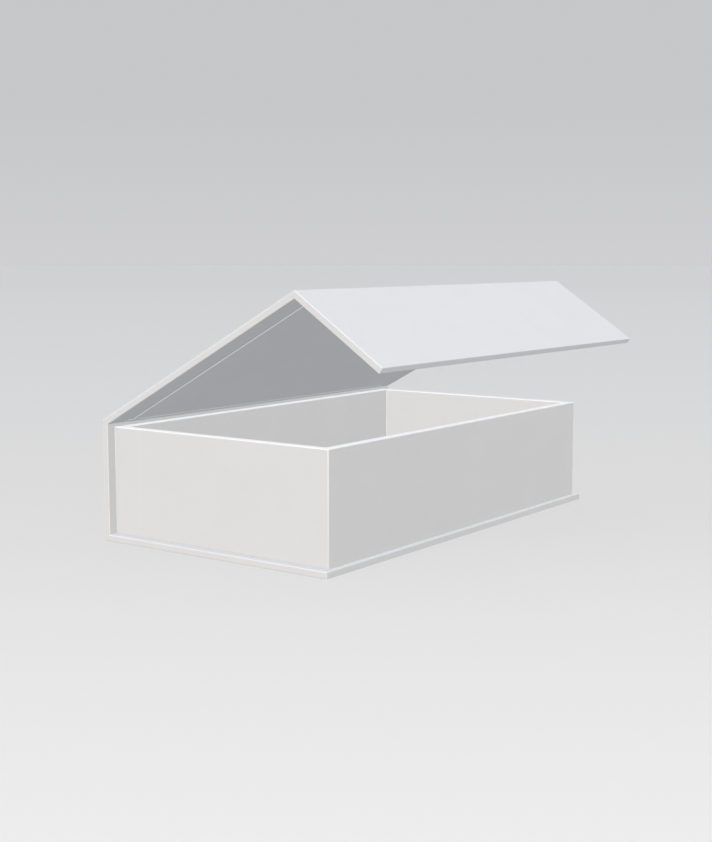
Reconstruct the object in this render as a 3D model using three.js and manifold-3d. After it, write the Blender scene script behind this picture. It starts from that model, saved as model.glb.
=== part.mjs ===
// Rigid set-up gift box, book style: a board tray glued into a wrapped case whose
// hinged lid ends in a front flap that folds down over the tray's front wall.
//
// Millimetres, +Z up. The origin is the centre of the base panel's underside.
// X runs along the hinge, -Y is the front (the flap's side), +Y the spine.
// Sections are drawn in (v, z): v counts forwards from the spine's inner face,
// so y = Y_SPINE - v. The lid and the flap are drawn flat in their own groups,
// whose origins are the two fold lines, and the groups are turned to the pose
// that the box stands in: half open, with the flap hanging from the lid.

import * as THREE from "three";
import { mergeVertices } from "three/addons/utils/BufferGeometryUtils.js";
import Module from "manifold-3d";

const wasm = await Module();
wasm.setup();

// ---------------------------------------------------------------- dimensions
const TRAY_L = 220; // tray, outside, along the hinge
const TRAY_W = 125; // tray, outside, spine to front
const TRAY_H = 50.5; // tray, on top of the base panel
const TRAY_WALL = 4.5; // tray wall with its paper
const TRAY_FLOOR = 2; // tray floor board

const PANEL = 3; // case panel with its paper
const PAPER = 0.2; // covering paper with its glue
const GLUE = 0.05; // clear line between a board and its paper
const SKIN = PAPER + GLUE; // board's distance from the finished face

const SIDE_OVERHANG = 4.2; // case panels beyond the tray, each side
const FRONT_OVERHANG = 2.3; // base panel beyond the tray's front wall
const TURN_IN = 18; // paper turned over onto the inner faces

const SPINE_H = 55; // spine's inner face up to the lid's fold, from the floor
const LID_D = 126; // lid's inner face, fold to fold
const FLAP_D = 51.3; // flap's inner face, fold to free edge
const LID_PIVOT = 1; // lid's fold line, depth in from the inner face
const FLAP_PIVOT = 0.5; // flap's fold line, depth in from the inner face

const LID_OPEN = 28.45; // lid above the closed pose, degrees
const FLAP_FOLD = 62.5; // flap from flat with the lid, degrees

const LINER = 0.2; // lining sheet of the lid and flap
const LINER_INSET = 14.5; // lining's edge, in from the panel's side edge
const FLOOR_LINER = 0.3; // lining card in the tray

const BOARD_GAP = 0.2; // between the bevelled board ends at the lid's fold
const FLAP_GAP = 0.1; // between the fold line and each board at the flap's fold
const MITRE_GAP = 0.1; // between the mitred base and spine boards

const MAGNET_R = 5; // closure magnets in the flap
const MAGNET_T = 1.8;
const KEEPER_R = 5; // steel discs in the tray's front wall
const KEEPER_T = 1;
const MAGNET_X = 70; // from the middle, each way
const MAGNET_FROM_FOLD = 38; // from the flap's fold line
const POCKET = 0.2; // play round a disc in its pocket

// ------------------------------------------------------------------- derived
const HALF = TRAY_L / 2 + SIDE_OVERHANG; // half length of every case panel
const Y_SPINE = (TRAY_W + FRONT_OVERHANG - PANEL) / 2; // y of the spine's inner face
const V_FRONT = TRAY_W + FRONT_OVERHANG; // base panel's front edge
const TRAY_BACK = GLUE; // tray's back wall, clear of the spine by its glue
const TRAY_Z = PANEL + GLUE; // tray's underside
const RIM = PANEL + TRAY_H;
const rad = THREE.MathUtils.degToRad;
const HINGE_HALF = rad(90 - LID_OPEN) / 2; // half the turn from spine to lid
const FOLD_HALF = rad(FLAP_FOLD) / 2; // half the turn from lid to flap
const LID_BACK = LID_PIVOT * Math.tan(HINGE_HALF); // inner corner, from the fold line
const PIVOT_V = -LID_PIVOT;
const PIVOT_Z = SPINE_H + LID_BACK;
const FLAP_S = LID_BACK + LID_D + FLAP_PIVOT * Math.tan(FOLD_HALF); // fold to fold
const FLAP_END = FLAP_PIVOT * Math.tan(FOLD_HALF) + FLAP_D;

// ------------------------------------------------------------------- helpers
function solid(geometry, matrix) {
  const g = geometry.clone();
  g.deleteAttribute("normal");
  g.deleteAttribute("uv");
  if (matrix) g.applyMatrix4(matrix);
  const m = mergeVertices(g, 1e-5);
  const indices = m.index ? m.index.array : m.getAttribute("position").array.map((_, i) => i);
  return new wasm.Manifold(
    new wasm.Mesh({
      numProp: 3,
      vertProperties: new Float32Array(m.getAttribute("position").array),
      triVerts: new Uint32Array(indices),
    }),
  );
}

function geometryOf(manifold) {
  const m = manifold.getMesh();
  const n = m.numProp;
  const p = new Float32Array(m.numVert * 3);
  for (let i = 0; i < m.numVert; i++)
    p.set(m.vertProperties.subarray(i * n, i * n + 3), i * 3);
  const g = new THREE.BufferGeometry();
  g.setAttribute("position", new THREE.BufferAttribute(p, 3));
  g.setIndex(new THREE.BufferAttribute(new Uint32Array(m.triVerts), 1));
  const flat = g.toNonIndexed();
  flat.computeVertexNormals();
  return flat;
}

// A closed box between two x, two forward distances and two heights.
function block(x0, x1, v0, v1, z0, z1) {
  const g = new THREE.BoxGeometry(x1 - x0, v1 - v0, z1 - z0);
  g.translate((x0 + x1) / 2, -(v0 + v1) / 2, (z0 + z1) / 2);
  return solid(g);
}

// A section given as [forward, height] points, extruded along X.
const ALONG_X = new THREE.Matrix4().makeBasis(
  new THREE.Vector3(0, 1, 0),
  new THREE.Vector3(0, 0, 1),
  new THREE.Vector3(1, 0, 0),
);
function prism(points, x0, x1) {
  const shape = new THREE.Shape(points.map(([v, z]) => new THREE.Vector2(-v, z)));
  const g = new THREE.ExtrudeGeometry(shape, { depth: x1 - x0, bevelEnabled: false });
  g.translate(0, 0, x0);
  return solid(g, ALONG_X);
}

// A round disc whose axis runs along the forward direction.
function discForward(x, v0, v1, z, r, sides = 48) {
  const g = new THREE.CylinderGeometry(r, r, v1 - v0, sides);
  g.translate(x, -(v0 + v1) / 2, z);
  return solid(g);
}

// A round disc whose axis is vertical.
function discUp(x, v, z0, z1, r, sides = 48) {
  const g = new THREE.CylinderGeometry(r, r, z1 - z0, sides);
  g.rotateX(Math.PI / 2);
  g.translate(x, -v, (z0 + z1) / 2);
  return solid(g);
}

function add(group, name, manifold, material) {
  const mesh = new THREE.Mesh(geometryOf(manifold), material);
  mesh.name = name;
  group.add(mesh);
}

// ----------------------------------------------------------------- materials
const white = new THREE.MeshStandardMaterial({ color: 0xf1f0ee, roughness: 0.85, metalness: 0 });
const lining = new THREE.MeshStandardMaterial({ color: 0xeeedeb, roughness: 0.88, metalness: 0 });
const greyboard = new THREE.MeshStandardMaterial({ color: 0x8f8b84, roughness: 0.95, metalness: 0 });
const nickel = new THREE.MeshStandardMaterial({ color: 0xbfbfc2, roughness: 0.3, metalness: 1 });
const steel = new THREE.MeshStandardMaterial({ color: 0xa8aaad, roughness: 0.4, metalness: 1 });

// ---------------------------------------------------------------------- root
const box = new THREE.Group();
box.name = "gift_box";
const base = new THREE.Group();
base.position.y = Y_SPINE;
box.add(base);

const TX = TRAY_L / 2;
const keeperZ = PIVOT_Z - LID_PIVOT + FLAP_PIVOT - MAGNET_FROM_FOLD;

// Tray: one scored and folded board, open at the top, with a pocket for each
// keeper disc in the outer face of the front wall.
let tray = block(-TX + SKIN, TX - SKIN, TRAY_BACK + SKIN, TRAY_W - SKIN, TRAY_Z + SKIN, RIM - SKIN).subtract(
  block(
    -TX + TRAY_WALL - SKIN,
    TX - TRAY_WALL + SKIN,
    TRAY_BACK + TRAY_WALL - SKIN,
    TRAY_W - TRAY_WALL + SKIN,
    TRAY_Z + SKIN + TRAY_FLOOR,
    RIM + 10,
  ),
);
for (const x of [-MAGNET_X, MAGNET_X])
  tray = tray.subtract(
    discForward(x, TRAY_W - SKIN - KEEPER_T - POCKET, TRAY_W + 1, keeperZ, KEEPER_R + POCKET),
  );
add(base, "tray_board", tray, greyboard);

// Tray paper: over the outer walls, over the rim, down the inner walls to the
// floor, and turned under the tray all round.
const floorTop = TRAY_Z + SKIN + TRAY_FLOOR;
const wrapped = block(-TX + PAPER, TX - PAPER, TRAY_BACK + PAPER, TRAY_W - PAPER, TRAY_Z + PAPER, RIM - PAPER).subtract(
  block(
    -TX + TRAY_WALL - PAPER,
    TX - TRAY_WALL + PAPER,
    TRAY_BACK + TRAY_WALL - PAPER,
    TRAY_W - TRAY_WALL + PAPER,
    floorTop + 0.1,
    RIM + 10,
  ),
);
const trayWrap = block(-TX, TX, TRAY_BACK, TRAY_W, TRAY_Z, RIM)
  .subtract(wrapped)
  .subtract(
    block(
      -TX + TRAY_WALL,
      TX - TRAY_WALL,
      TRAY_BACK + TRAY_WALL,
      TRAY_W - TRAY_WALL,
      floorTop - 1,
      RIM + 10,
    ),
  )
  .subtract(block(-TX + TURN_IN, TX - TURN_IN, TURN_IN, TRAY_W - TURN_IN, 0, floorTop - 0.5));
add(base, "tray_wrap", trayWrap, white);

// Lining card on the tray's floor.
add(
  base,
  "tray_floor_liner",
  block(
    -TX + TRAY_WALL + 0.3,
    TX - TRAY_WALL - 0.3,
    TRAY_BACK + TRAY_WALL + 0.3,
    TRAY_W - TRAY_WALL - 0.3,
    floorTop + GLUE,
    floorTop + GLUE + FLOOR_LINER,
  ),
  lining,
);

// Base and spine boards, mitred where they meet.
add(
  base,
  "base_board",
  prism(
    [
      [V_FRONT - SKIN, SKIN],
      [V_FRONT - SKIN, PANEL - SKIN],
      [-SKIN + MITRE_GAP, PANEL - SKIN],
      [-PANEL + SKIN + MITRE_GAP, SKIN],
    ],
    -HALF + SKIN,
    HALF - SKIN,
  ),
  greyboard,
);

// The spine's upper end is bevelled both ways from the fold line, so the lid
// can close on it and also swing right back.
const bevelTop = (v) => PIVOT_Z - BOARD_GAP - Math.abs(v - PIVOT_V);
add(
  base,
  "spine_board",
  prism(
    [
      [-PANEL + SKIN, SKIN + MITRE_GAP],
      [-SKIN, PANEL - SKIN + MITRE_GAP],
      [-SKIN, bevelTop(-SKIN)],
      [PIVOT_V, bevelTop(PIVOT_V)],
      [-PANEL + SKIN, bevelTop(-PANEL + SKIN)],
    ],
    -HALF + SKIN,
    HALF - SKIN,
  ),
  greyboard,
);

// Cover paper on the base and spine: outer faces, side and front edges, and
// turned over onto the inner faces.
const caseWrap = prism(
  [
    [V_FRONT, 0],
    [V_FRONT, PANEL],
    [0, PANEL],
    [0, bevelTop(0)],
    [PIVOT_V, bevelTop(PIVOT_V)],
    [-PANEL, bevelTop(-PANEL)],
    [-PANEL, 0],
  ],
  -HALF,
  HALF,
)
  .subtract(
    prism(
      [
        [V_FRONT - PAPER, PAPER],
        [V_FRONT - PAPER, PANEL - PAPER],
        [-PAPER, PANEL - PAPER],
        [-PAPER, SPINE_H + 10],
        [-PANEL + PAPER, SPINE_H + 10],
        [-PANEL + PAPER, PAPER],
      ],
      -HALF + PAPER,
      HALF - PAPER,
    ),
  )
  .subtract(
    block(-HALF + TURN_IN, HALF - TURN_IN, -PAPER - 0.01, V_FRONT - TURN_IN, PANEL - PAPER - 0.01, SPINE_H + 10),
  );
add(base, "case_wrap", caseWrap, white);

// Keeper discs behind the tray's front paper.
[
  ["keeper_disc_left", -MAGNET_X],
  ["keeper_disc_right", MAGNET_X],
].forEach(([name, x]) =>
  add(
    base,
    name,
    discForward(
      x,
      TRAY_W - SKIN - KEEPER_T - POCKET / 2,
      TRAY_W - SKIN - POCKET / 2,
      keeperZ,
      KEEPER_R,
    ),
    steel,
  ),
);

// ----------------------------------------------------------------------- lid
// Drawn closed: the panel lies level, forwards of the fold line. Heights count
// from the fold line, with the inner face below it.
const lid = new THREE.Group();
lid.position.set(0, -PIVOT_V, PIVOT_Z);
lid.rotation.x = -rad(LID_OPEN);
base.add(lid);

const IN = -LID_PIVOT;
const OUT = PANEL - LID_PIVOT;
const backBevel = (h) => BOARD_GAP + Math.abs(h); // bevelled both ways
const foldH = IN + FLAP_PIVOT; // flap's fold line, in the lid's heights
const frontEnd = (h) => FLAP_S - FLAP_GAP - Math.max(0, foldH - h); // bevelled inside only

add(
  lid,
  "lid_board",
  prism(
    [
      [backBevel(IN + SKIN), IN + SKIN],
      [backBevel(0), 0],
      [backBevel(OUT - SKIN), OUT - SKIN],
      [frontEnd(OUT - SKIN), OUT - SKIN],
      [frontEnd(foldH), foldH],
      [frontEnd(IN + SKIN), IN + SKIN],
    ],
    -HALF + SKIN,
    HALF - SKIN,
  ),
  greyboard,
);

add(
  lid,
  "lid_wrap",
  prism(
    [
      [backBevel(IN), IN],
      [backBevel(0), 0],
      [backBevel(OUT), OUT],
      [frontEnd(OUT), OUT],
      [frontEnd(foldH), foldH],
      [frontEnd(IN), IN],
    ],
    -HALF,
    HALF,
  )
    .subtract(block(-HALF + PAPER, HALF - PAPER, -5, FLAP_S + 5, IN + PAPER, OUT - PAPER))
    .subtract(block(-HALF + TURN_IN, HALF - TURN_IN, -5, FLAP_S + 5, IN - 1, IN + PAPER + 0.01)),
  white,
);

const linerBack = backBevel(IN) + 1;
const linerFront = FLAP_S - FLAP_PIVOT - 0.8;
add(
  lid,
  "lid_liner",
  block(-HALF + LINER_INSET, HALF - LINER_INSET, linerBack, linerFront, IN - GLUE - LINER, IN - GLUE),
  lining,
);

// ---------------------------------------------------------------------- flap
// Drawn flat with the lid, heights counted from the fold line between them.
const flap = new THREE.Group();
flap.position.set(0, -FLAP_S, foldH);
flap.rotation.x = rad(FLAP_FOLD);
lid.add(flap);

const FIN = -FLAP_PIVOT;
const FOUT = PANEL - FLAP_PIVOT;
const flapBack = (h) => FLAP_GAP + Math.max(0, -h);
let flapBoard = prism(
  [
    [flapBack(FIN + SKIN), FIN + SKIN],
    [flapBack(0), 0],
    [flapBack(FOUT - SKIN), FOUT - SKIN],
    [FLAP_END - SKIN, FOUT - SKIN],
    [FLAP_END - SKIN, FIN + SKIN],
  ],
  -HALF + SKIN,
  HALF - SKIN,
);
for (const x of [-MAGNET_X, MAGNET_X])
  flapBoard = flapBoard.subtract(
    discUp(x, MAGNET_FROM_FOLD, FIN - 1, FIN + SKIN + MAGNET_T + POCKET, MAGNET_R + POCKET),
  );
add(flap, "flap_board", flapBoard, greyboard);

add(
  flap,
  "flap_wrap",
  prism(
    [
      [flapBack(FIN), FIN],
      [flapBack(0), 0],
      [flapBack(FOUT), FOUT],
      [FLAP_END, FOUT],
      [FLAP_END, FIN],
    ],
    -HALF,
    HALF,
  )
    .subtract(block(-HALF + PAPER, HALF - PAPER, -5, FLAP_END - PAPER, FIN + PAPER, FOUT - PAPER))
    .subtract(block(-HALF + TURN_IN, HALF - TURN_IN, -5, FLAP_END - TURN_IN, FIN - 1, FIN + PAPER + 0.01)),
  white,
);

add(
  flap,
  "flap_liner",
  block(
    -HALF + LINER_INSET,
    HALF - LINER_INSET,
    flapBack(FIN) + 1,
    FLAP_END - LINER_INSET,
    FIN - GLUE - LINER,
    FIN - GLUE,
  ),
  lining,
);

[
  ["magnet_disc_left", -MAGNET_X],
  ["magnet_disc_right", MAGNET_X],
].forEach(([name, x]) =>
  add(
    flap,
    name,
    discUp(
      x,
      MAGNET_FROM_FOLD,
      FIN + SKIN + POCKET / 2,
      FIN + SKIN + POCKET / 2 + MAGNET_T,
      MAGNET_R,
    ),
    nickel,
  ),
);

// ------------------------------------------------------------------- creases
// The cover paper and the lining run on across both folds. These are the
// stretches that flex, drawn as they stand in the half-open pose: bent strips
// with a sharp corner. Each section is in the base's (v, z).
const a = rad(LID_OPEN);
const b = rad(FLAP_FOLD - LID_OPEN);
const lidDir = [Math.cos(a), Math.sin(a)];
const lidUp = [-Math.sin(a), Math.cos(a)];
const flapDir = [Math.cos(b), -Math.sin(b)];
const flapUp = [Math.sin(b), Math.cos(b)];
const onLid = (s, h) => [
  PIVOT_V + s * lidDir[0] + h * lidUp[0],
  PIVOT_Z + s * lidDir[1] + h * lidUp[1],
];
const fold = onLid(FLAP_S, foldH);
const onFlap = (s, h) => [fold[0] + s * flapDir[0] + h * flapUp[0], fold[1] + s * flapDir[1] + h * flapUp[1]];
// The lid's distance at which its height h meets the spine's face at depth d.
const hingeCorner = (h) => -h * Math.tan(HINGE_HALF);
const flapCorner = (h) => h * Math.tan(FOLD_HALF);

// Cover paper over the lid's fold.
add(
  base,
  "hinge_cover_crease",
  prism(
    [
      [-PANEL, bevelTop(-PANEL + PAPER) + GLUE],
      onLid(hingeCorner(OUT), OUT),
      onLid(backBevel(OUT - PAPER) - GLUE, OUT),
      onLid(backBevel(OUT - PAPER) - GLUE, OUT - PAPER),
      onLid(hingeCorner(OUT - PAPER), OUT - PAPER),
      [-PANEL + PAPER, bevelTop(-PANEL + PAPER) + GLUE],
    ],
    -HALF,
    HALF,
  ),
  white,
);

// Lining over the lid's fold, from the rear rim of the tray to the lid.
const LC = IN - GLUE; // lining's glued face, in the lid's heights
add(
  base,
  "hinge_liner_crease",
  prism(
    [
      onLid(hingeCorner(LC), LC),
      onLid(linerBack - 0.1, LC),
      onLid(linerBack - 0.1, LC - LINER),
      onLid(hingeCorner(LC - LINER), LC - LINER),
      [GLUE + LINER, RIM + GLUE],
      [GLUE, RIM + GLUE],
    ],
    -TX + 7,
    TX - 7,
  ),
  lining,
);

// Cover paper over the flap's fold.
const f0 = FLAP_GAP - GLUE;
add(
  base,
  "flap_cover_crease",
  prism(
    [
      onLid(FLAP_S - f0, OUT),
      onLid(FLAP_S + flapCorner(FOUT), OUT),
      onFlap(f0, FOUT),
      onFlap(f0, FOUT - PAPER),
      onLid(FLAP_S + flapCorner(FOUT - PAPER), OUT - PAPER),
      onLid(FLAP_S - f0, OUT - PAPER),
    ],
    -HALF,
    HALF,
  ),
  white,
);

// Lining inside the flap's fold.
const FC = FIN - GLUE; // lining's glued face, from the fold line
add(
  base,
  "flap_liner_crease",
  prism(
    [
      onLid(linerFront + 0.1, LC),
      onLid(FLAP_S + flapCorner(FC), LC),
      onFlap(flapBack(FIN) + 0.9, FC),
      onFlap(flapBack(FIN) + 0.9, FC - LINER),
      onLid(FLAP_S + flapCorner(FC - LINER), LC - LINER),
      onLid(linerFront + 0.1, LC - LINER),
    ],
    -HALF + LINER_INSET,
    HALF - LINER_INSET,
  ),
  lining,
);

export default box;
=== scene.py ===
import math

import bmesh
import bpy
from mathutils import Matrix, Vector


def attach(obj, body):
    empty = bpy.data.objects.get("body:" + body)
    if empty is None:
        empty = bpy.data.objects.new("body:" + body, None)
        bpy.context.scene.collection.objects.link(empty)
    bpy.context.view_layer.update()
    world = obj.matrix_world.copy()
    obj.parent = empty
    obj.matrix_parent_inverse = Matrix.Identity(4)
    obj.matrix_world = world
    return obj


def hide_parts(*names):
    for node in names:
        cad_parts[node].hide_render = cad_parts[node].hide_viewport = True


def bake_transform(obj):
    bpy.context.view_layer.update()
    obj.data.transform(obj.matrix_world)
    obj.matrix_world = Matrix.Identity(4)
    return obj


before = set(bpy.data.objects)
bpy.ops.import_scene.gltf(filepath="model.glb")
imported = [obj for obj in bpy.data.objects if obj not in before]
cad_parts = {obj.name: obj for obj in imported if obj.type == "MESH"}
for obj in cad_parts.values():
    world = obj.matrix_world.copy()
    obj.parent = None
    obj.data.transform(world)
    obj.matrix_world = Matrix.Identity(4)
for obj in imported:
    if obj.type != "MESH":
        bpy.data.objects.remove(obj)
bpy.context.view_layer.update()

# A rigid gift box, book style. Lengths here are millimetres until they reach a
# mesh. Sections are drawn in (v, z): v runs forwards from the spine's inner
# face, so y = Y_SPINE - v, and z runs up from the base's underside.

# ------------------------------------------------------------------ dimensions
TRAY_L, TRAY_W, TRAY_H, TRAY_WALL = 220.0, 125.0, 50.5, 4.5
PANEL, PAPER = 3.0, 0.2
SIDE_OVERHANG, FRONT_OVERHANG = 4.2, 2.3
SPINE_H, LID_D, FLAP_D = 55.0, 126.0, 51.3
LID_PIVOT, FLAP_PIVOT = 1.0, 0.5
LID_OPEN, FLAP_FOLD = math.radians(28.45), math.radians(62.5)
TURN_IN, LINER, LINER_INSET = 18.0, 0.2, 14.5

HALF = TRAY_L / 2 + SIDE_OVERHANG
Y_SPINE = (TRAY_W + FRONT_OVERHANG - PANEL) / 2
V_FRONT = TRAY_W + FRONT_OVERHANG
RIM = PANEL + TRAY_H
HINGE_HALF, FOLD_HALF = (math.pi / 2 - LID_OPEN) / 2, FLAP_FOLD / 2
LID_BACK = LID_PIVOT * math.tan(HINGE_HALF)
PV, PZ = -LID_PIVOT, SPINE_H + LID_BACK
FLAP_S = LID_BACK + LID_D + FLAP_PIVOT * math.tan(FOLD_HALF)
FLAP_END = FLAP_PIVOT * math.tan(FOLD_HALF) + FLAP_D
IN, OUT = -LID_PIVOT, PANEL - LID_PIVOT
FOLD_H = IN + FLAP_PIVOT
FIN, FOUT = -FLAP_PIVOT, PANEL - FLAP_PIVOT

la, lb = LID_OPEN, FLAP_FOLD - LID_OPEN
LD, LU = (math.cos(la), math.sin(la)), (-math.sin(la), math.cos(la))
FD, FU = (math.cos(lb), -math.sin(lb)), (math.sin(lb), math.cos(lb))


def on_lid(s, h):
    return (PV + s * LD[0] + h * LU[0], PZ + s * LD[1] + h * LU[1])


FOLD = on_lid(FLAP_S, FOLD_H)


def on_flap(s, h):
    return (FOLD[0] + s * FD[0] + h * FU[0], FOLD[1] + s * FD[1] + h * FU[1])


def on_spine(s, h):
    """s runs up the spine from the lid's fold line, h outwards (backwards)."""
    return (PV - h, PZ + s)


def row(x, vz):
    return (x / 1000, (Y_SPINE - vz[0]) / 1000, vz[1] / 1000)


# ------------------------------------------------------------------- materials
def paper_material(name, colour, fibre=0.012, cloud=0.010, rough=0.62, grain=0.00002, warm=0.004):
    """Matte white covering paper: faint fibre flecks, a soft cloudiness and a fine felt-side grain."""
    m = bpy.data.materials.new(name)
    m.use_nodes = True
    nt = m.node_tree
    nt.nodes.clear()
    N, L = nt.nodes.new, nt.links.new
    out = N("ShaderNodeOutputMaterial")
    bsdf = N("ShaderNodeBsdfPrincipled")
    L(bsdf.outputs["BSDF"], out.inputs["Surface"])
    tc = N("ShaderNodeTexCoord")

    def noise(scale, detail, rough_, stretch=(1, 1, 1)):
        mp = N("ShaderNodeMapping")
        mp.inputs["Scale"].default_value = stretch
        L(tc.outputs["Object"], mp.inputs["Vector"])
        n = N("ShaderNodeTexNoise")
        n.inputs["Scale"].default_value = scale
        n.inputs["Detail"].default_value = detail
        n.inputs["Roughness"].default_value = rough_
        L(mp.outputs["Vector"], n.inputs["Vector"])
        return n

    cloudy = noise(38, 3, 0.55)
    fibres = noise(1500, 4, 0.65, (0.35, 1.0, 1.0))
    flecks = noise(5200, 2, 0.5, (0.2, 1.0, 1.0))
    rise = noise(2600, 5, 0.7)

    def ranged(node, low, high):
        r = N("ShaderNodeMapRange")
        r.inputs["From Min"].default_value = 0.3
        r.inputs["From Max"].default_value = 0.7
        r.inputs["To Min"].default_value = low
        r.inputs["To Max"].default_value = high
        L(node.outputs["Fac"], r.inputs["Value"])
        return r

    a = ranged(cloudy, 1 - cloud, 1 + cloud)
    b = ranged(fibres, 1 - fibre, 1 + fibre)
    f = ranged(flecks, 1 - fibre * 0.5, 1 + fibre * 0.5)
    ab = N("ShaderNodeMath")
    ab.operation = "MULTIPLY"
    L(a.outputs["Result"], ab.inputs[0])
    L(b.outputs["Result"], ab.inputs[1])
    abf = N("ShaderNodeMath")
    abf.operation = "MULTIPLY"
    L(ab.outputs[0], abf.inputs[0])
    L(f.outputs["Result"], abf.inputs[1])
    tint = N("ShaderNodeMix")
    tint.data_type = "RGBA"
    tint.inputs["A"].default_value = (*[c * (1 - w) for c, w in zip(colour, (0, warm * 0.4, warm))], 1)
    tint.inputs["B"].default_value = (*[c * (1 - w) for c, w in zip(colour, (warm, warm * 0.4, 0))], 1)
    L(cloudy.outputs["Fac"], tint.inputs["Factor"])
    scale = N("ShaderNodeVectorMath")
    scale.operation = "SCALE"
    L(tint.outputs["Result"], scale.inputs[0])
    L(abf.outputs[0], scale.inputs["Scale"])
    L(scale.outputs["Vector"], bsdf.inputs["Base Color"])
    ro = ranged(fibres, rough - 0.05, rough + 0.07)
    L(ro.outputs["Result"], bsdf.inputs["Roughness"])
    bump = N("ShaderNodeBump")
    bump.inputs["Strength"].default_value = 0.35
    bump.inputs["Distance"].default_value = grain
    L(rise.outputs["Fac"], bump.inputs["Height"])
    L(bump.outputs["Normal"], bsdf.inputs["Normal"])
    bsdf.inputs["Specular IOR Level"].default_value = 0.28
    bsdf.inputs["Sheen Weight"].default_value = 0.03
    bsdf.inputs["Sheen Roughness"].default_value = 0.5
    return m


def metal_material(name, colour, rough):
    m = bpy.data.materials.new(name)
    m.use_nodes = True
    nt = m.node_tree
    bsdf = nt.nodes["Principled BSDF"]
    bsdf.inputs["Metallic"].default_value = 1.0
    tc = nt.nodes.new("ShaderNodeTexCoord")
    n = nt.nodes.new("ShaderNodeTexNoise")
    n.inputs["Scale"].default_value = 900
    n.inputs["Detail"].default_value = 4
    nt.links.new(tc.outputs["Object"], n.inputs["Vector"])
    r = nt.nodes.new("ShaderNodeMapRange")
    r.inputs["To Min"].default_value = rough - 0.08
    r.inputs["To Max"].default_value = rough + 0.12
    nt.links.new(n.outputs["Fac"], r.inputs["Value"])
    nt.links.new(r.outputs["Result"], bsdf.inputs["Roughness"])
    mix = nt.nodes.new("ShaderNodeMix")
    mix.data_type = "RGBA"
    mix.inputs["A"].default_value = (*[c * 0.9 for c in colour], 1)
    mix.inputs["B"].default_value = (*colour, 1)
    nt.links.new(n.outputs["Fac"], mix.inputs["Factor"])
    nt.links.new(mix.outputs["Result"], bsdf.inputs["Base Color"])
    return m


COVER = paper_material("cover_paper", (0.802, 0.800, 0.796))
TRAY = paper_material("tray_paper", (0.802, 0.800, 0.796))
LINING = paper_material("lining_paper", (0.800, 0.798, 0.795), fibre=0.010, rough=0.7)
NICKEL = metal_material("magnet_nickel", (0.72, 0.70, 0.66), 0.25)
STEEL = metal_material("keeper_steel", (0.56, 0.56, 0.57), 0.38)


# ------------------------------------------------------------------ mesh tools
def build(name, verts, faces, smooth, material):
    me = bpy.data.meshes.new(name)
    me.from_pydata(verts, [], faces)
    me.polygons.foreach_set("use_smooth", smooth)
    bm = bmesh.new()
    bm.from_mesh(me)
    bmesh.ops.remove_doubles(bm, verts=bm.verts, dist=1e-7)
    bmesh.ops.recalc_face_normals(bm, faces=bm.faces)
    bm.to_mesh(me)
    bm.free()
    # Marking sharp edges clears the faces' own flags, so the flat faces are marked again after it.
    kept = [p.use_smooth for p in me.polygons]
    me.set_sharp_from_angle(angle=math.radians(32))
    me.polygons.foreach_set("use_smooth", kept)
    me.materials.append(material)
    me.update()
    o = bpy.data.objects.new(name, me)
    bpy.context.scene.collection.objects.link(o)
    return o


def rounded_loop(x0, x1, inset, radius, thick, seg=4):
    """A rounded rectangle as (x, share of the thickness from the inner face), and whether each side is straight."""
    x0, x1 = x0 + inset, x1 - inset
    n0, n1 = inset, thick - inset
    pts, straight = [], []
    for cx, cn, a0 in (
        (x1 - radius, n1 - radius, 0),
        (x0 + radius, n1 - radius, 90),
        (x0 + radius, n0 + radius, 180),
        (x1 - radius, n0 + radius, 270),
    ):
        for k in range(seg + 1):
            a = math.radians(a0 + 90 * k / seg)
            pts.append((cx + radius * math.cos(a), (cn + radius * math.sin(a)) / thick))
            straight.append(k == seg)
    return pts, straight


def ribbon(name, stations, material, radius=0.35, thick=PANEL, half=HALF, seg=4):
    """A wrapped panel: stations are (inner point, outer point, inset, is the stretch after it straight)."""
    verts, faces, smooth = [], [], []
    n = None
    for k, (pi, po, inset, flat) in enumerate(stations):
        pts, straight = rounded_loop(-half, half, inset, max(radius - inset, 0), thick, seg)
        n = len(pts)
        for x, t in pts:
            verts.append(row(x, (pi[0] + (po[0] - pi[0]) * t, pi[1] + (po[1] - pi[1]) * t)))
        if k:
            was_flat = stations[k - 1][3]
            for j in range(n):
                a, b = (k - 1) * n + j, (k - 1) * n + (j + 1) % n
                faces.append((a, b, b + n, a + n))
                smooth.append(not (straight[j] and was_flat))
    faces.append(tuple(range(n)))
    smooth.append(False)
    faces.append(tuple((len(stations) - 1) * n + j for j in range(n)))
    smooth.append(False)
    return build(name, verts, faces, smooth, material)


def free_end(place, end, inward, radius=0.35, thick=PANEL, inner=0.0, seg=4, closing=True):
    """Stations that round a panel's free edge. place(s, h) gives a point; inward is -1 or 1, the way back into the panel."""
    out = []
    for k in range(seg + 1):
        a = math.pi / 2 * k / seg
        s = end + inward * radius * (1 - math.sin(a))
        inset = radius * (1 - math.cos(a))
        out.append((place(s, inner), place(s, inner + thick), inset, False))
    return out if closing else [(p, q, i, k == seg) for k, (p, q, i, _) in enumerate(reversed(out))]


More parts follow.
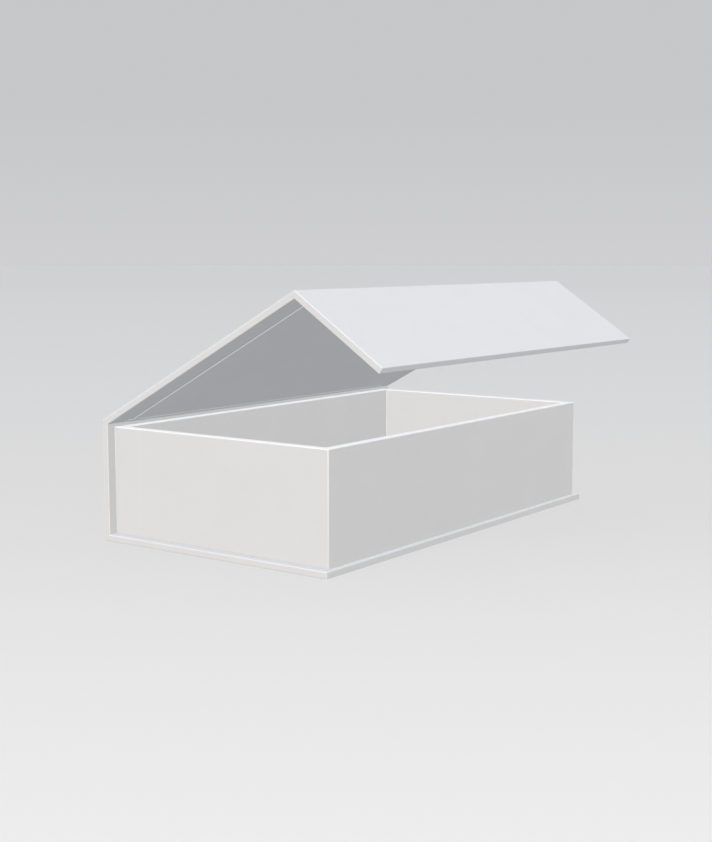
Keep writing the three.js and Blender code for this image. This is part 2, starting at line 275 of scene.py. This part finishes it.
def corner_points(p, d0, d1, radius, n, reach0, reach1, straight=5):
    """A path that comes along d0 to corner p and leaves along d1, rounded to radius, from reach0 before p to reach1 after it."""
    turn = math.acos(max(-1, min(1, d0[0] * d1[0] + d0[1] * d1[1])))
    cut = radius * math.tan(turn / 2)
    pts = []
    for k in range(straight):
        f = reach0 + (cut - reach0) * k / straight
        pts.append((p[0] - d0[0] * f, p[1] - d0[1] * f))
    side = 1 if d0[0] * d1[1] - d0[1] * d1[0] > 0 else -1
    c = (p[0] - d0[0] * cut - side * d0[1] * radius, p[1] - d0[1] * cut + side * d0[0] * radius)
    start = (p[0] - d0[0] * cut - c[0], p[1] - d0[1] * cut - c[1])
    for k in range(n + 1):
        a = side * turn * k / n
        pts.append(
            (c[0] + start[0] * math.cos(a) - start[1] * math.sin(a), c[1] + start[0] * math.sin(a) + start[1] * math.cos(a))
        )
    for k in range(1, straight + 1):
        f = cut + (reach1 - cut) * k / straight
        pts.append((p[0] + d1[0] * f, p[1] + d1[1] * f))
    return pts


def bent(inner_path, outer_path, straight, n):
    """Stations of a path made by corner_points: its two straight runs are flat, and the arc is smooth."""
    return [(p, q, 0, k < straight or k >= straight + n) for k, (p, q) in enumerate(zip(inner_path, outer_path))]


# ------------------------------------------------------- case: base and spine
REACH = 3.0  # how far the flexing stretch runs each way from a fold line

stations = free_end(lambda s, h: (s, PANEL - h), V_FRONT, -1, closing=False)
inner = corner_points((0, PANEL), (-1, 0), (0, 1), 0.12, 6, 4, 4)
outer = corner_points((-PANEL, 0), (-1, 0), (0, 1), 0.5, 6, 7, 7)
stations += bent(inner, outer, 5, 6)
stations.append((on_spine(-REACH, IN), on_spine(-REACH, OUT), 0, True))
case_cover = ribbon("case_cover", stations, COVER)
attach(case_cover, "case")
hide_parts("base_board", "spine_board", "case_wrap")

# ------------------------------------------------------------------------- lid
lid_cover = ribbon(
    "lid_cover",
    [
        (on_lid(REACH, IN), on_lid(REACH, OUT), 0, True),
        (on_lid(FLAP_S - REACH, IN), on_lid(FLAP_S - REACH, OUT), 0, True),
    ],
    COVER,
)
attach(lid_cover, "lid")
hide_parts("lid_board", "lid_wrap")

# ------------------------------------------------------------------------ flap
stations = [(on_flap(REACH, FIN), on_flap(REACH, FOUT), 0, True)]
stations += free_end(lambda s, h: on_flap(s, FIN + h), FLAP_END, -1)
flap_cover = ribbon("flap_cover", stations, COVER)
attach(flap_cover, "flap")
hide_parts("flap_board", "flap_wrap")


def corner_lap(name, side):
    """The side's turned-in paper, which lies over the end's and is cut at 45 degrees towards the flap's free corner."""
    proud, bed = 0.09, 0.03
    cols = (0.45, 6.0, 15.3)
    starts = (REACH + 0.3, REACH + 14.0)
    top, bottom = [], []
    for t in cols:
        for s in (*starts, FLAP_END - t):
            lift = proud * (t - cols[0] > 0.1) * (s > starts[0] + 0.1)
            top.append(row(side * (HALF - t), on_flap(s, FIN - lift)))
            bottom.append(row(side * (HALF - t), on_flap(s, FIN + bed)))
    verts = top + bottom
    faces, smooth = [], []
    for c in range(2):
        for r in range(2):
            a = c * 3 + r
            faces.append((a, a + 1, a + 4, a + 3))
            smooth.append(True)
            faces.append((9 + a, 9 + a + 3, 9 + a + 4, 9 + a + 1))
            smooth.append(False)
    rim = (0, 1, 2, 5, 8, 7, 6, 3)
    for k, a in enumerate(rim):
        b = rim[(k + 1) % len(rim)]
        faces.append((a, b, 9 + b, 9 + a))
        smooth.append(False)
    o = build(name, verts, faces, smooth, COVER)
    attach(o, "flap")
    return o


corner_lap("flap_corner_lap_left", -1)
corner_lap("flap_corner_lap_right", 1)


# ------------------------------------------------- the two folds of the cover
def fold_piece(name, inner_corner, outer_corner, d0, d1, reach_in, reach_out, r_in, r_out):
    a = corner_points(inner_corner, d0, d1, r_in, 8, *reach_in, straight=6)
    b = corner_points(outer_corner, d0, d1, r_out, 8, *reach_out, straight=6)
    return ribbon(name, bent(a, b, 6, 8), COVER)


ht, ft = math.tan(HINGE_HALF), math.tan(FOLD_HALF)
hinge_in, hinge_out = on_lid(-IN * ht, IN), on_lid(-OUT * ht, OUT)
hinge_cover = fold_piece(
    "hinge_fold_cover", hinge_in, hinge_out, (0, 1), LD,
    (REACH - ht * LID_PIVOT, REACH - ht * LID_PIVOT),
    (REACH + ht * OUT, REACH + ht * OUT),
    0.1, 0.3,
)


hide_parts("hinge_cover_crease")

fold_in, fold_out = on_lid(FLAP_S + FIN * ft, IN), on_lid(FLAP_S + FOUT * ft, OUT)
flap_fold = fold_piece(
    "flap_fold_cover", fold_in, fold_out, LD, FD,
    (REACH + FIN * ft, REACH + FIN * ft),
    (REACH + FOUT * ft, REACH + FOUT * ft),
    0.1, 0.3,
)
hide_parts("flap_cover_crease")

# ------------------------------------------------------------------ the lining
GL = 0.05


def lining_plate(name, place, s_start, s_end, h_face, half, body, node, free=False):
    """A thin lining sheet glued on a panel's inner face. h_face is the panel's inner face; the sheet stands proud of it
    where it laps the turned-in paper, and dips where it lies on the board."""
    # Columns across x: the sheet's edge, the lap on the turn-in, the dip to the board.
    edge = HALF - LINER_INSET
    dip = HALF - TURN_IN
    xs, hs = [], []
    for x, d in ((edge, 0), (edge - 0.05, 0.0), (dip + 0.35, 0), (dip + 0.12, 0.03), (dip - 0.15, 0.11), (dip - 0.45, 0.14), (dip - 0.9, 0.15)):
        xs.append(x)
        hs.append(d)
    columns = [(-x, d) for x, d in zip(xs, hs)] + [(x, d) for x, d in reversed(list(zip(xs, hs)))]
    rows = []
    n = 10
    for k in range(n + 1):
        rows.append((s_start + (s_end - s_start) * k / n, 0.0))
    if free:
        end_dip = FLAP_END - TURN_IN
        rows = [(s, d) for s, d in rows if s < end_dip - 2]
        rows += [(end_dip - 0.9, 0.0), (end_dip - 0.45, 0.02), (end_dip - 0.15, 0.05), (end_dip + 0.12, 0.12), (end_dip + 0.35, 0.15), (s_end, 0.15)]
        rows = [(s, 1 - d / 0.15) for s, d in rows]
    else:
        rows = [(s, 1.0) for s, _ in rows]
    verts, faces, smooth = [], [], []
    top = h_face - GL
    nc = len(columns)
    for s, m in rows:
        for x, d in columns:
            verts.append(row(x, place(s, top - LINER + d * m)))
    for s, m in rows:
        for x, d in columns:
            verts.append(row(x, place(s, top + 0.04)))
    off = len(rows) * nc
    for r in range(len(rows) - 1):
        for c in range(nc - 1):
            a = r * nc + c
            faces.append((a, a + 1, a + nc + 1, a + nc))
            smooth.append(True)
            faces.append((off + a, off + a + nc, off + a + nc + 1, off + a + 1))
            smooth.append(False)
    for c in range(nc - 1):
        for r in (0, len(rows) - 1):
            a = r * nc + c
            faces.append((a, off + a, off + a + 1, a + 1))
            smooth.append(False)
    for r in range(len(rows) - 1):
        for c in (0, nc - 1):
            a = r * nc + c
            faces.append((a, a + nc, off + a + nc, off + a))
            smooth.append(False)
    o = build(name, verts, faces, smooth, LINING)
    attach(o, body)
    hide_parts(node)
    return o


lid_lining = lining_plate("lid_lining", on_lid, REACH + 0.2, FLAP_S - REACH - 0.2, IN, HALF, "lid", "lid_liner")
flap_lining = lining_plate("flap_lining", on_flap, REACH + 0.2, FLAP_END - LINER_INSET, FIN, HALF, "flap", "flap_liner", free=True)


def lining_fold(name, face_corner, back_corner, d0, d1, reach0, reach1, half, node, r=(0.15, 0.15)):
    a = corner_points(face_corner, d0, d1, r[0], 8, *reach0, straight=5)
    b = corner_points(back_corner, d0, d1, r[1], 8, *reach1, straight=5)
    o = ribbon(name, bent(a, b, 5, 8), LINING, radius=0.04, thick=LINER, half=half, seg=2)
    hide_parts(node)
    return o


LC = IN - GL
face_h, back_h = LC - LINER, LC
fc, bc = on_lid(-face_h * ht, face_h), on_lid(-back_h * ht, back_h)
hinge_lining = lining_fold(
    "hinge_fold_lining", fc, bc, (0, 1), LD,
    (fc[1] - RIM - 0.1, REACH + 0.2 + face_h * ht),
    (bc[1] - RIM - 0.1, REACH + 0.2 + back_h * ht),
    TRAY_L / 2 - 7, "hinge_liner_crease",
)
FC = FIN - GL
face_f, back_f = FC - LINER, FC
fcf, bcf = on_lid(FLAP_S + face_f * ft, IN - GL - LINER), on_lid(FLAP_S + back_f * ft, IN - GL)
flap_fold_lining = lining_fold(
    "flap_fold_lining", fcf, bcf, LD, FD,
    (REACH + 0.2 + face_f * ft, REACH + 0.2 + face_f * ft),
    (REACH + 0.2 + back_f * ft, REACH + 0.2 + back_f * ft),
    HALF - LINER_INSET, "flap_liner_crease",
)

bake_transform(hinge_cover)
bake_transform(hinge_lining)
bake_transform(flap_fold)
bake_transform(flap_fold_lining)


# ------------------------------------------------------------------------ tray
def tray_shell():
    """The wrapped tray's walls: one closed ring whose section goes up the outside, over the rim and down the inside."""
    ro, ri = 0.55, 0.3  # outer and inner corners in plan
    re = 0.38  # rim edges
    z0, z1 = PANEL + GL, RIM
    w = TRAY_WALL
    floor = PANEL + GL + 0.25 + 2.0
    section = [(0.5, z0, True), (0.12, z0 + 0.05, False), (0.0, z0 + 0.4, True)]
    n = 5
    for k in range(n + 1):
        a = math.pi / 2 * k / n
        section.append((re * (1 - math.cos(a)), z1 - re * (1 - math.sin(a)), k == n))
    for k in range(n + 1):
        a = math.pi / 2 * (1 - k / n)
        section.append((w - re * (1 - math.cos(a)), z1 - re * (1 - math.sin(a)), k == n))
    section.append((w, floor + 0.1, True))
    section.append((w, floor, True))
    section.append((w, z0, True))
    # Plan path: eight-step corners, with stations on the short sides where the tucked tabs end.
    nc = 6
    loops = []
    tab = 16.0
    lift = 0.09
    half = TRAY_L / 2

    def plan(d):
        """Points of the outline moved in by d, as (x, v, outward x, lift wanted there)."""
        r = ro * max(1 - d / w, 0) + ri * min(d / w, 1)
        x0, x1, v0, v1 = -half + d, half - d, GL + d, TRAY_W - d
        # along front wall, right side, back wall, left side
        pts = []
        for cx, cv, a0 in ((x1 - r, v1 - r, 0), (x1 - r, v0 + r, -90), (x0 + r, v0 + r, -180), (x0 + r, v1 - r, -270)):
            for k in range(nc + 1):
                a = math.radians(a0 - 90 * k / nc + 90)
                pts.append((cx + r * math.cos(a), cv + r * math.sin(a), k == nc))
            side = a0
            # after this corner comes a straight side; put the tab's step on the short sides
            if side == 0:  # right side runs from front to back
                for f, up in ((tab - 0.5, 0), (tab + 0.3, 1), (TRAY_W - tab - 0.3, 1), (TRAY_W - tab + 0.5, 0)):
                    pts.append((x1 - (lift * up if d < 0.2 else 0), TRAY_W - f, True))
            if side == -180:
                for f, up in ((tab - 0.5, 0), (tab + 0.3, 1), (TRAY_W - tab - 0.3, 1), (TRAY_W - tab + 0.5, 0)):
                    pts.append((x0 + (lift * up if d < 0.2 else 0), f, True))
        return pts

    verts, faces, smooth = [], [], []
    m = None
    for d, z, _ in section:
        pts = plan(d)
        m = len(pts)
        for x, v, _ in pts:
            verts.append(row(x, (v, z)))
    flat_after = [p[2] for p in plan(0)]
    ns = len(section)
    for k in range(ns):
        k2 = (k + 1) % ns
        for j in range(m):
            j2 = (j + 1) % m
            faces.append((k * m + j, k * m + j2, k2 * m + j2, k2 * m + j))
            smooth.append(not (section[k][2] and flat_after[j]))
    return build("tray_shell", verts, faces, smooth, TRAY)


tray = tray_shell()
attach(tray, "case")
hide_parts("tray_board", "tray_wrap")

floor_top = PANEL + GL + 0.25 + 2.0 + GL
fx, fv0, fv1 = TRAY_L / 2 - TRAY_WALL - 0.3, GL + TRAY_WALL + 0.3, TRAY_W - TRAY_WALL - 0.3
floor_lining = ribbon(
    "tray_floor_lining",
    free_end(lambda s, h: (s, floor_top + h), fv1, -1, radius=0.1, thick=0.3, seg=3, closing=False)[:-1]
    + [(((fv1 - 0.1), floor_top), ((fv1 - 0.1), floor_top + 0.3), 0, True)]
    + free_end(lambda s, h: (s, floor_top + h), fv0, 1, radius=0.1, thick=0.3, seg=3),
    LINING,
    radius=0.1,
    thick=0.3,
    half=fx,
    seg=3,
)
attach(floor_lining, "case")
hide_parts("tray_floor_liner")

for node, m in (
    ("keeper_disc_left", STEEL),
    ("keeper_disc_right", STEEL),
    ("magnet_disc_left", NICKEL),
    ("magnet_disc_right", NICKEL),
):
    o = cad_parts[node]
    for k in range(len(o.material_slots)):
        o.material_slots[k].material = m

# ------------------------------------------------------------------ the studio
WALK = (math.cos(math.radians(36.04446)), math.sin(math.radians(36.04446)))  # the way the camera faces, in plan


def stage_floor():
    bm = bmesh.new()
    bmesh.ops.create_circle(bm, cap_ends=True, cap_tris=False, segments=128, radius=14.0)
    me = bpy.data.meshes.new("studio_floor")
    bm.to_mesh(me)
    bm.free()
    o = bpy.data.objects.new("studio_floor", me)
    bpy.context.scene.collection.objects.link(o)
    m = bpy.data.materials.new("studio_floor")
    m.use_nodes = True
    nt = m.node_tree
    nt.nodes.clear()
    N, L = nt.nodes.new, nt.links.new
    out = N("ShaderNodeOutputMaterial")
    seen, bounce = N("ShaderNodeBsdfDiffuse"), N("ShaderNodeBsdfDiffuse")
    bounce.inputs["Color"].default_value = (0.16, 0.16, 0.16, 1)
    mix = N("ShaderNodeMixShader")
    lp = N("ShaderNodeLightPath")
    L(lp.outputs["Is Camera Ray"], mix.inputs["Fac"])
    L(bounce.outputs[0], mix.inputs[1])
    L(seen.outputs[0], mix.inputs[2])
    L(mix.outputs[0], out.inputs["Surface"])
    tc = N("ShaderNodeTexCoord")
    dot = N("ShaderNodeVectorMath")
    dot.operation = "DOT_PRODUCT"
    dot.inputs[1].default_value = (WALK[0], WALK[1], 0)
    L(tc.outputs["Object"], dot.inputs[0])
    # painted light falloff: the floor's own colour is lighter near the camera's foot and darker further ahead; distance
    # ahead of the camera's foot, squeezed so that the far floor fits the ramp
    add = N("ShaderNodeMath")
    add.operation = "ADD"
    add.inputs[1].default_value = 0.675 - 0.25
    L(dot.outputs["Value"], add.inputs[0])
    ahead = N("ShaderNodeMath")
    ahead.operation = "MAXIMUM"
    ahead.inputs[1].default_value = 0
    L(add.outputs[0], ahead.inputs[0])
    inv = N("ShaderNodeMath")
    inv.operation = "ADD"
    inv.inputs[1].default_value = 0.6
    L(ahead.outputs[0], inv.inputs[0])
    div = N("ShaderNodeMath")
    div.operation = "DIVIDE"
    L(ahead.outputs[0], div.inputs[0])
    L(inv.outputs[0], div.inputs[1])
    # all round, the far floor settles to the same tone
    away = N("ShaderNodeVectorMath")
    away.operation = "LENGTH"
    L(tc.outputs["Object"], away.inputs[0])
    fade = N("ShaderNodeMapRange")
    fade.interpolation_type = "SMOOTHSTEP"
    fade.inputs["From Min"].default_value = 0.7
    fade.inputs["From Max"].default_value = 5.0
    fade.inputs["To Min"].default_value = 0.0
    fade.inputs["To Max"].default_value = 1.0
    L(away.outputs["Value"], fade.inputs["Value"])
    both = N("ShaderNodeMath")
    both.operation = "MAXIMUM"
    L(div.outputs[0], both.inputs[0])
    L(fade.outputs["Result"], both.inputs[1])
    # the ramp's tones are painted light and shade: light near the camera's foot, darker far off
    ramp = N("ShaderNodeValToRGB")
    L(both.outputs[0], ramp.inputs["Fac"])
    cr = ramp.color_ramp
    cr.interpolation = "LINEAR"
    k = 0.942
    stops = [
        (0.0, (238.5, 238.5, 238.5)), (0.12, (233.5, 233.5, 233.5)), (0.28, (227.5, 227.5, 227.5)),
        (0.40, (221, 221, 221)), (0.50, (218, 218, 218)), (0.60, (214.5, 215.5, 217)),
        (0.75, (210.5, 212, 213.5)), (0.90, (208, 209, 211)), (1.0, (207, 207.5, 209.5)),
    ]

    def lin(v):
        v /= 255
        return v / 12.92 if v <= 0.04045 else ((v + 0.055) / 1.055) ** 2.4

    while len(cr.elements) < len(stops):
        cr.elements.new(0.5)
    for e, (p, v) in zip(cr.elements, stops):
        e.position = p
        e.color = (lin(v[0]) / k * 1.020, lin(v[1]) / k, lin(v[2]) / k * 0.946, 1)
    L(ramp.outputs["Color"], seen.inputs["Color"])
    me.materials.append(m)
    return o


stage_floor()

world = bpy.data.worlds.new("studio")
bpy.context.scene.world = world
world.use_nodes = True
nt = world.node_tree
nt.nodes.clear()
N, L = nt.nodes.new, nt.links.new
wout = N("ShaderNodeOutputWorld")
lit, seen = N("ShaderNodeBackground"), N("ShaderNodeBackground")
mix = N("ShaderNodeMixShader")
lp = N("ShaderNodeLightPath")
L(lp.outputs["Is Camera Ray"], mix.inputs["Fac"])
L(lit.outputs[0], mix.inputs[1])
L(seen.outputs[0], mix.inputs[2])
L(mix.outputs[0], wout.inputs["Surface"])
# An even dome, which the box shades itself from.
lit.inputs["Color"].default_value = (0.07, 0.07, 0.07, 1)
# What the camera sees behind the floor: a wall with painted shade, darker slightly upwards.
tc = N("ShaderNodeTexCoord")
sep = N("ShaderNodeSeparateXYZ")
L(tc.outputs["Generated"], sep.inputs[0])
ramp = N("ShaderNodeMapRange")
ramp.inputs["From Min"].default_value = 0.0
ramp.inputs["From Max"].default_value = 0.10
L(sep.outputs["Z"], ramp.inputs["Value"])
wall = N("ShaderNodeMix")
wall.data_type = "RGBA"
wall.inputs["A"].default_value = (0.624, 0.624, 0.638, 1)
wall.inputs["B"].default_value = (0.571, 0.575, 0.585, 1)
L(ramp.outputs["Result"], wall.inputs["Factor"])
L(wall.outputs["Result"], seen.inputs["Color"])


def fill_light(name, direction, irradiance, only=None):
    """A distant, soft fill that throws no shadow and lights only what it meets first, so that faces that look the same
    way keep one tone. direction points from the box to the light, and only limits it to some pieces."""
    lamp = bpy.data.lights.new(name, "SUN")
    lamp.energy = max(irradiance)
    lamp.color = [c / max(irradiance) for c in irradiance]
    lamp.angle = 0.3
    lamp.use_shadow = False
    lamp.cycles.max_bounces = 0
    lamp.specular_factor = 0.4
    o = bpy.data.objects.new(name, lamp)
    bpy.context.scene.collection.objects.link(o)
    o.rotation_euler = (-Vector(direction)).to_track_quat("-Z", "Y").to_euler()
    if only:
        group = bpy.data.collections.new(name + "_pieces")
        for piece in only:
            group.objects.link(piece)
        o.light_linking.receiver_collection = group
    return o


fill_light("fill_left", (-1, 0, 0), (2.012, 1.925, 1.830))
fill_light("fill_left_high", (-1, 0, 1), (0.825, 0.884, 0.956))
fill_light("fill_front", (0, -1, 0), (1.575, 1.615, 1.710))
fill_light("fill_front_high", (0, -1, 1), (0.469, 0.408, 0.293))
fill_light("fill_back_high", (0, 1, 1), (0.90, 0.90, 0.90))
fill_light("fill_top", (0, 0, 1), (0.969, 1.025, 1.234))
fill_light("fill_below", (0, 0, -1), (0.549, 0.588, 0.597))
fill_light("fill_right", (1, 0, 0), (1.80, 1.80, 1.80))
fill_light("fill_back", (0, 1, 0), (1.25, 1.25, 1.25))
fill_light("fill_rim", (0, 0, 1), (0.86, 0.86, 0.86), only=[tray])

cam = bpy.data.cameras.new("camera")
cam.lens = 57.788
cam.sensor_width = 36
cam.sensor_fit = "AUTO"
cam.clip_start = 0.01
cam.clip_end = 100
co = bpy.data.objects.new("camera", cam)
bpy.context.scene.collection.objects.link(co)
co.location = (-0.547497, -0.395312, 0.133618)
pitch = math.radians(-7.090799)
co.rotation_euler = Vector(
    (WALK[0] * math.cos(pitch), WALK[1] * math.cos(pitch), math.sin(pitch))
).to_track_quat("-Z", "Y").to_euler()
bpy.context.scene.camera = co

sc = bpy.context.scene
sc.view_settings.view_transform = "Standard"
sc.view_settings.look = "None"
sc.view_settings.exposure = 0
sc.view_settings.gamma = 1
